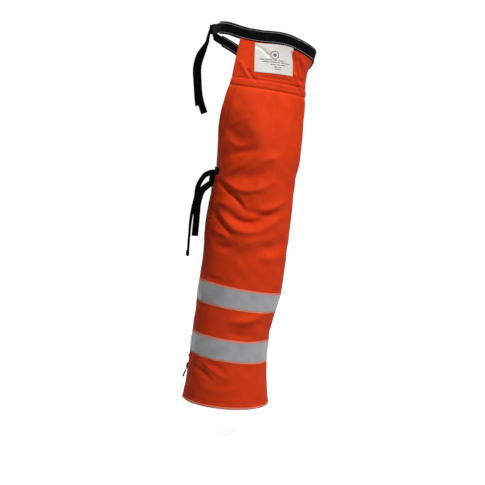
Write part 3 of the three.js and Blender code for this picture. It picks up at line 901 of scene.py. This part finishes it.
APRON = 1.2 * MM                     # thickness of the cloth
APRON_GROOVE = 0.89                  # shares of the way down of the stitched groove
LOW_STITCH = 0.955                   # and of the lower row of stitches
EDGE_STITCHES = (0.03, 0.97)         # shares of the way across
apron_shares = np.linspace(0, 1, 84)
apron_across = np.linspace(0, 1, 110)
for name, side in SIDES:
    share, across = np.meshgrid(apron_shares, apron_across, indexing="ij")
    height = apron_height(share, apron_point(side, share, across, 0.0))
    outer = apron_point(side, share, across, -height)
    inner = apron_point(side, share, across, APRON - height)
    uvs = np.stack([across * 0.28, share * 0.13], -1)
    apron = sheet_mesh(f"{name}_apron_cloth", outer, inner, uvs, shell_orange)
    place(apron, [f"{name}_apron"])
    across_hip(apron)

    lines = [apron_point(side, np.full_like(apron_across, LOW_STITCH), apron_across, -1.3 * MM)]
    rows = slice(6, -2)              # those that the band and the low seam leave free
    for edge in EDGE_STITCHES:
        column = height[rows, int(edge * (len(apron_across) - 1))]
        lines.append(apron_point(side, apron_shares[rows], np.full_like(column, edge),
                                 -column - THREAD_LIFT))
    stitches = repeat_along(f"{name}_apron_stitching", lines, SHELL_STITCH, SHELL_STITCH_PITCH,
                            thread_orange)
    place(stitches)
    across_hip(stitches)


# ---- Reflective tapes ----------------------------------------------------------------------------
# Two bands round each calf: silver tape with tiny glass beads in its face, sewn down over a
# wider fluorescent backing, so a narrow salmon edge shows above and below the silver. A tape's
# top and lower edges are heights in millimetres; the last value lifts its front corner.
TAPES = {"upper": (-652, -708, 0), "lower": (-786, -845, 5)}
BACKING_LIFT = 0.75 * MM             # how far the backing's face stands over the shell
SILVER = 0.35 * MM                   # and the silver's face over the backing's
TAPE_EDGE = 0.085                    # share of the tape's width that is salmon, each side

silver_cloth, silver_tree, silver_shader = new_material(
    "glass_bead_reflective_tape", "#9b9c9d", 0.42, Metallic=0.25)
silver_shader.inputs["Specular IOR Level"].default_value = 0.6
silver_uv = mottle(silver_tree, silver_shader, "#a1a2a3", "#8e9092", 30)
silver_beads = add_node(silver_tree, "ShaderNodeTexVoronoi", None,
                        {"Vector": silver_uv, "Scale": 1100.0})
bump(silver_tree, silver_shader, silver_beads.outputs["Distance"], 0.25, 0.1 * MM)
salmon_cloth = oxford("salmon_backing_tape", "#ff9c84", "#f58f78")


def tape_point(side, bounds, t, share, depth):
    """A point on a tape: t runs from its top edge to its lower edge."""
    top, low, curl = bounds
    z = (top + (low - top) * t) * MM
    angle = cloth_angle(z, share)
    z = z + curl * MM * (1 - 0.7 * t) * ease((angle - 105) / 70) * ease((255 - angle) / 70)
    return on_shell(side, z, share, depth)


for name, side in SIDES:
    for tape, bounds in TAPES.items():
        t, share = np.meshgrid(np.linspace(0, 1, 19), ROUND_SHARES, indexing="ij")
        backing = sheet_mesh(f"{name}_{tape}_tape_backing",
                             tape_point(side, bounds, t, share, -BACKING_LIFT),
                             tape_point(side, bounds, t, share, -0.1 * MM),
                             cloth_uv(-0.06 * t, share), salmon_cloth)
        place(backing, body=f"{name}_shin")
        t = TAPE_EDGE + t * (1 - 2 * TAPE_EDGE)
        silver = sheet_mesh(f"{name}_{tape}_tape_silver",
                            tape_point(side, bounds, t, share, -BACKING_LIFT - SILVER),
                            tape_point(side, bounds, t, share, -BACKING_LIFT + 0.05 * MM),
                            cloth_uv(-0.06 * t, share), silver_cloth)
        place(silver, [f"{name}_{tape}_reflective_tape"], f"{name}_shin")


# ---- Label ---------------------------------------------------------------------------------------
# A white satin patch sewn to the right apron. Its print is made generic: a plain ring and grey
# bars in place of lettering. The patch has a folded edge, and a crease runs in from its corner.
# Its corners, back then front, as shares down and across the apron.
LABEL_CORNERS = {"top": ((0.07, 0.155), (0.04, 0.44)), "low": ((0.72, 0.165), (0.68, 0.45))}
LABEL_SIZE = (98 * MM, 66 * MM)


def label_point(u, v, lift):
    """A point on the label: u across from the back, v down from the top edge."""
    back_top, front_top, back_low, front_low = (*LABEL_CORNERS["top"], *LABEL_CORNERS["low"])
    spot = [(back_top[i] + (front_top[i] - back_top[i]) * u) * (1 - v)
            + (back_low[i] + (front_low[i] - back_low[i]) * u) * v for i in (0, 1)]
    base = apron_point(-1, spot[0], spot[1], 0.0)
    return apron_point(-1, spot[0], spot[1], -apron_height(spot[0], base) - lift)


satin, satin_tree, satin_shader = new_material("white_satin_label", "#efebe6", 0.5, Sheen_Weight=0.1)
satin_uv = mottle(satin_tree, satin_shader, "#f2eee9", "#e8e4dd", 40)
bump(satin_tree, satin_shader, ribs(satin_tree, satin_uv, 0.9 * MM, "X"), 0.15, 0.1 * MM)
print_grey = new_material("grey_label_print", "#6f6c70", 0.7)[0]


def label_piece(name, u, v, top, bottom, material):
    """A thin sheet on the label, between two lifts over the apron."""
    uvs = np.stack([u * LABEL_SIZE[0], v * LABEL_SIZE[1]], -1)
    piece = sheet_mesh(name, label_point(u, v, top), label_point(u, v, bottom), uvs, material)
    place(piece)
    across_hip(piece)
    return piece


def label_sheet(name, us, vs, top, bottom, material):
    """A four-sided sheet on the label."""
    v, u = np.meshgrid(vs, us, indexing="ij")
    return label_piece(name, u, v, top, bottom, material)


PRINT_LIFTS = (1.02 * MM, 0.9 * MM)  # face and back of the print, over the apron
patch = label_sheet("label_patch", np.linspace(0, 1, 90), np.linspace(0, 1, 60),
                    0.95 * MM, 0.15 * MM, satin)
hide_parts("label")
FOLDED = 0.022                       # share of the label's width in each folded edge
EDGES = {
    "top": ((0, 1, 90), (0, FOLDED * 1.5, 4)),
    "low": ((0, 1, 90), (1 - FOLDED * 1.5, 1, 4)),
    "back": ((0, FOLDED, 4), (0, 1, 60)),
    "front": ((1 - FOLDED, 1, 4), (0, 1, 60)),
}
for part, (us, vs) in EDGES.items():
    label_sheet(f"label_{part}_edge", np.linspace(*us), np.linspace(*vs), 1.3 * MM, 0.9 * MM, satin)
# Rows of grey bars: how far down the label a row lies, then the start and end of each bar.
BAR_HEIGHT = 0.028                   # share of the label's height
BARS = [
    (0.53, (0.14, 0.27), (0.29, 0.42), (0.44, 0.52), (0.54, 0.70)),
    (0.60, (0.22, 0.36), (0.38, 0.60), (0.62, 0.72), (0.74, 0.88)),
    (0.68, (0.38, 0.50), (0.52, 0.60), (0.62, 0.74)),
    (0.76, (0.46, 0.54), (0.56, 0.64)),
    (0.83, (0.47, 0.62)),
]
for row, (v, *words) in enumerate(BARS):
    for word, (start, end) in enumerate(words):
        label_sheet(f"label_dash_{row}_{word}", np.linspace(start, end, 8),
                    np.array([v, v + BAR_HEIGHT]), *PRINT_LIFTS, print_grey)


def label_ring(name, centre, inner, outer):
    """A printed ring, round in millimetres on the label."""
    turn = np.linspace(0, 2 * math.pi, 41)
    radius, around = np.meshgrid([inner, outer], turn, indexing="ij")
    u = centre[0] + radius * np.cos(around) / (LABEL_SIZE[0] / MM)
    v = centre[1] + radius * np.sin(around) / (LABEL_SIZE[1] / MM)
    label_piece(name, u, v, *PRINT_LIFTS, print_grey)


EMBLEM = (0.47, 0.37)
label_ring("label_emblem_ring", EMBLEM, 7.6, 9.4)
label_ring("label_emblem_dot", EMBLEM, 0.4, 3.8)


# ---- Zips ------------------------------------------------------------------------------------------
# A moulded-tooth zip closes each calf, and stops short of the hem. Each half is a knitted black
# tape with acetal teeth; the slider is black enamelled zinc, with a bridge and a flat pull tab.
ZIP_ORIGIN = np.array([ZIP_TOP[0], 0, ZIP_TOP[1]]) * MM
ZIP_CENTRE = 106                     # across from the middle of the body, in millimetres


def zip_point(side, out, across, down):
    """A point in millimetres in the zip's own frame: out of the leg, across it and down it."""
    out, across, down = np.broadcast_arrays(*(np.asarray(v, float) for v in (out, across, down)))
    cosine, sine = math.cos(ZIP_LEAN), math.sin(ZIP_LEAN)
    x = -out * cosine - down * sine
    z = out * sine - down * cosine
    return np.stack([x, side * ZIP_CENTRE + across, z], -1) * MM + ZIP_ORIGIN


zip_cloth, zip_tree, zip_shader = new_material(
    "black_knitted_zip_tape", "#111113", 0.85, Specular_IOR_Level=0.15)
zip_uv = mottle(zip_tree, zip_shader, "#161618", "#0b0b0c", 120)
bump(zip_tree, zip_shader, ribs(zip_tree, zip_uv, 1.2 * MM, "DIAGONAL"), 0.4, 0.2 * MM)
acetal = new_material("black_acetal_teeth", "#151517", 0.35)[0]
enamel = new_material("black_enamelled_zinc", "#08080a", 0.45)[0]


def make_solid(name, ends, material):
    """A straight solid between two outlines with the same number of points."""
    count = len(ends[0])
    faces = [(i, (i + 1) % count, count + (i + 1) % count, count + i) for i in range(count)]
    faces += [tuple(range(count))[::-1], tuple(range(count, 2 * count))]
    return outward(make_object(name, [*ends[0], *ends[1]], faces, material, smooth=False))


def tooth_mesh():
    """One moulded tooth along X: a waisted neck, a head and a foot that grips the tape."""
    outline = [(-1.5, 1.0), (-0.2, 1.0), (0.3, 0.6), (0.8, 0.6), (1.3, 1.05), (1.9, 0.7), (1.9, -0.7),
               (1.3, -1.05), (0.8, -0.6), (0.3, -0.6), (-0.2, -1.0), (-1.5, -1.0)]
    ends = [[(x * MM, h * MM, z * MM) for x, z in outline] for h in (-1.1, 1.1)]
    obj = make_solid("tooth", ends, acetal)
    obj.hide_render = True
    return obj


TOOTH = tooth_mesh()
TOOTH_PITCH = 2.9 * MM
PULL_HINGE = (1.3, 317)              # out of the leg and down the zip, in millimetres
PULL_TILT = math.radians(16)


def pull_point(side, out, across, down):
    """A point in millimetres in the frame of the pull, which hangs from the slider's bridge."""
    cosine, sine = math.cos(PULL_TILT), math.sin(PULL_TILT)
    return zip_point(side, PULL_HINGE[0] + out * cosine + down * sine, across,
                     PULL_HINGE[1] + down * cosine - out * sine)


def make_prism(name, point, side, outline, near, far, bevel=0.35):
    """A bevelled plate: outline as across, down; from near to far out of the leg."""
    ends = [[point(side, out, across, down) for across, down in outline] for out in (near, far)]
    obj = make_solid(name, ends, enamel)
    modifier = obj.modifiers.new("bevel", "BEVEL")
    modifier.width = bevel * MM
    modifier.segments = 2
    return obj


def make_bridge(name, side):
    """The arch on the outer plate that the pull hangs from."""
    profile = [(-0.1, 303), (2.4, 305), (4.6, 309), (4.6, 317), (3.0, 321), (-0.1, 322.5)]
    ends = [[zip_point(side, out, across, down) for out, down in profile] for across in (-1.5, 1.5)]
    return make_solid(name, ends, enamel)


def mirrored(half):
    """A closed outline from its left half, top to bottom, as across and down."""
    return half + [(-across, down) for across, down in reversed(half)]


# Outlines of the metal parts. Those of the pull are measured down from its hinge.
PLATE = mirrored([(-3.3, 304), (-4.7, 312), (-4.7, 318), (-3.4, 322)])
WEDGE = mirrored([(-0.2, 305), (-0.2, 313), (-2.6, 321)])
STOP = mirrored([(-3.4, 0.5), (-3.4, 4.6)])
PIN = mirrored([(-2.2, -0.7), (-2.2, 0.7)])
PULL_GRIP = mirrored([(-2.4, 10.5), (-3.9, 13.5), (-3.9, 27), (-2.6, 29.5)])
PULL_NECK = [
    (-3.2, -0.8), (-3.2, 9), (-2.2, 11.5), (2.2, 11.5), (3.2, 9), (3.2, -0.8),
    (2.0, -0.8), (2.0, 7.2), (-2.0, 7.2), (-2.0, -0.8)]


def place_metal(obj, body, nodes=()):
    """Puts a metal part of the zip on its body."""
    return place(obj, nodes, body)


for name, side in SIDES:
    slider, pull = f"{name}_slider", f"{name}_pull"
    place_metal(make_prism(f"{slider}_outer_plate", zip_point, side, PLATE, -2.6, -0.2),
                slider, [f"{name}_zip_slider"])
    place_metal(make_prism(f"{slider}_inner_plate", zip_point, side, PLATE, -6.9, -5.5), slider)
    place_metal(make_prism(f"{slider}_wedge", zip_point, side, WEDGE, -5.6, -2.1, 0.1), slider)
    place_metal(make_bridge(f"{slider}_bridge", side), slider)
    place_metal(make_prism(f"{pull}_neck", pull_point, side, PULL_NECK, -1.1, 1.1),
                pull, [f"{name}_zip_pull"])
    place_metal(make_prism(f"{pull}_pin", pull_point, side, PIN, -0.7, 0.7), pull)
    place_metal(make_prism(f"{pull}_grip", pull_point, side, PULL_GRIP, -2.2, 2.2, 0.7), pull)
    place_metal(make_prism(f"{name}_zip_stop", zip_point, side, STOP, -5.1, -2.5),
                f"{name}_shin", [f"{name}_zip_top_stop"])

# The tapes and teeth, in millimetres: length down the zip, then a tape's edges from its middle.
ZIP_LENGTH = 335
TEETH_END = 323
TAPE_NEAR, TAPE_FAR = 3.6, 13.8
ZIP_TAPE = 0.8
for name, side in SIDES:
    for half, flip in (("outer", side), ("inner", -side)):
        across, down = np.meshgrid(np.linspace(TAPE_NEAR, TAPE_FAR, 7),
                                   np.linspace(0, ZIP_LENGTH, 80), indexing="ij")
        sag = -3.4 - 0.5 * ((across - TAPE_NEAR) / 10.2) ** 2 + 0.15 * np.sin(down / 9)
        tape = sheet_mesh(f"{name}_zip_tape_{half}_cloth", zip_point(side, sag, flip * across, down),
                          zip_point(side, sag - ZIP_TAPE, flip * across, down),
                          np.stack([across, down], -1) * MM, zip_cloth)
        place(tape, [f"{name}_zip_tape_{half}"], f"{name}_shin")
        start = 5 if flip > 0 else 5 + TOOTH_PITCH / MM / 2
        line = zip_point(side, -3.9, flip * 1.4, np.linspace(start, TEETH_END, 60))
        teeth = repeat_along(f"{name}_zip_teeth_{half}_row", [line], TOOTH, TOOTH_PITCH, acetal,
                             up=(0, -flip, 0))
        place(teeth, [f"{name}_zip_teeth_{half}"], f"{name}_shin")


# ---- Floor, backdrop and light -------------------------------------------------------------------
world = bpy.data.worlds.new("studio")
bpy.context.scene.world = world
world.use_nodes = True
studio = world.node_tree
backdrop = studio.nodes["Background"]
backdrop.inputs["Color"].default_value = linear("#ffffff")
backdrop.inputs["Strength"].default_value = 1.0
ambient = add_node(studio, "ShaderNodeBackground", None,
                   {"Color": linear("#ffffff"), "Strength": 0.11})
seen = add_node(studio, "ShaderNodeLightPath")
chosen = add_node(studio, "ShaderNodeMixShader", None,
                  {0: seen.outputs["Is Camera Ray"], 1: ambient.outputs[0], 2: backdrop.outputs[0]})
studio.links.new(chosen.outputs[0], studio.nodes["World Output"].inputs["Surface"])


def area_light(name, place_at, aim, size, watts, spread=180):
    """A rectangular light; its spread is in degrees."""
    data = bpy.data.lights.new(name, "AREA")
    data.shape = "RECTANGLE"
    data.size, data.size_y = size
    data.energy = watts
    data.spread = math.radians(spread)
    light = add_object(name, data)
    light.location = place_at
    light.rotation_mode = "QUATERNION"
    light.rotation_quaternion = (Vector(aim) - Vector(place_at)).to_track_quat("-Z", "Y")


area_light("key", (2.2, -2.9, 2.9), (-0.05, -0.1, -0.5), (1.0, 1.0), 160)
area_light("camera_side", (-0.2, -3.4, 0.6), (-0.05, 0, -0.5), (2.4, 2.0), 7)
area_light("back_fill", (-2.4, 2.6, 1.3), (-0.05, 0.1, -0.5), (1.6, 1.6), 55)
area_light("waist_fill", (-0.9, -1.1, 0.9), (0.0, -0.17, -0.02), (0.2, 0.2), 0.12, 20)

overhead = add_object("overhead", bpy.data.lights.new("overhead", "SUN"))
overhead.data.energy = 0.8
overhead.data.angle = math.radians(50)
overhead.rotation_euler = (math.radians(28), 0, math.radians(50))

FLOOR = -1.09                        # where the wearer's soles stand
FLOOR_REACH = 30
floor_paint, _, floor_shader = new_material("pale_studio_floor", "#f4f4f4", 0.9)
floor_shader.inputs["Emission Color"].default_value = linear("#ffffff")
floor_shader.inputs["Emission Strength"].default_value = 0.75
corners = [(x * FLOOR_REACH, y * FLOOR_REACH, FLOOR) for x, y in ((-1, -1), (1, -1), (1, 1), (-1, 1))]
floor = make_object("floor", corners, [(0, 1, 2, 3)], floor_paint)
floor.visible_diffuse = False         # keeps the floor from lighting the folds from below
bpy.context.scene.view_settings.view_transform = "Standard"
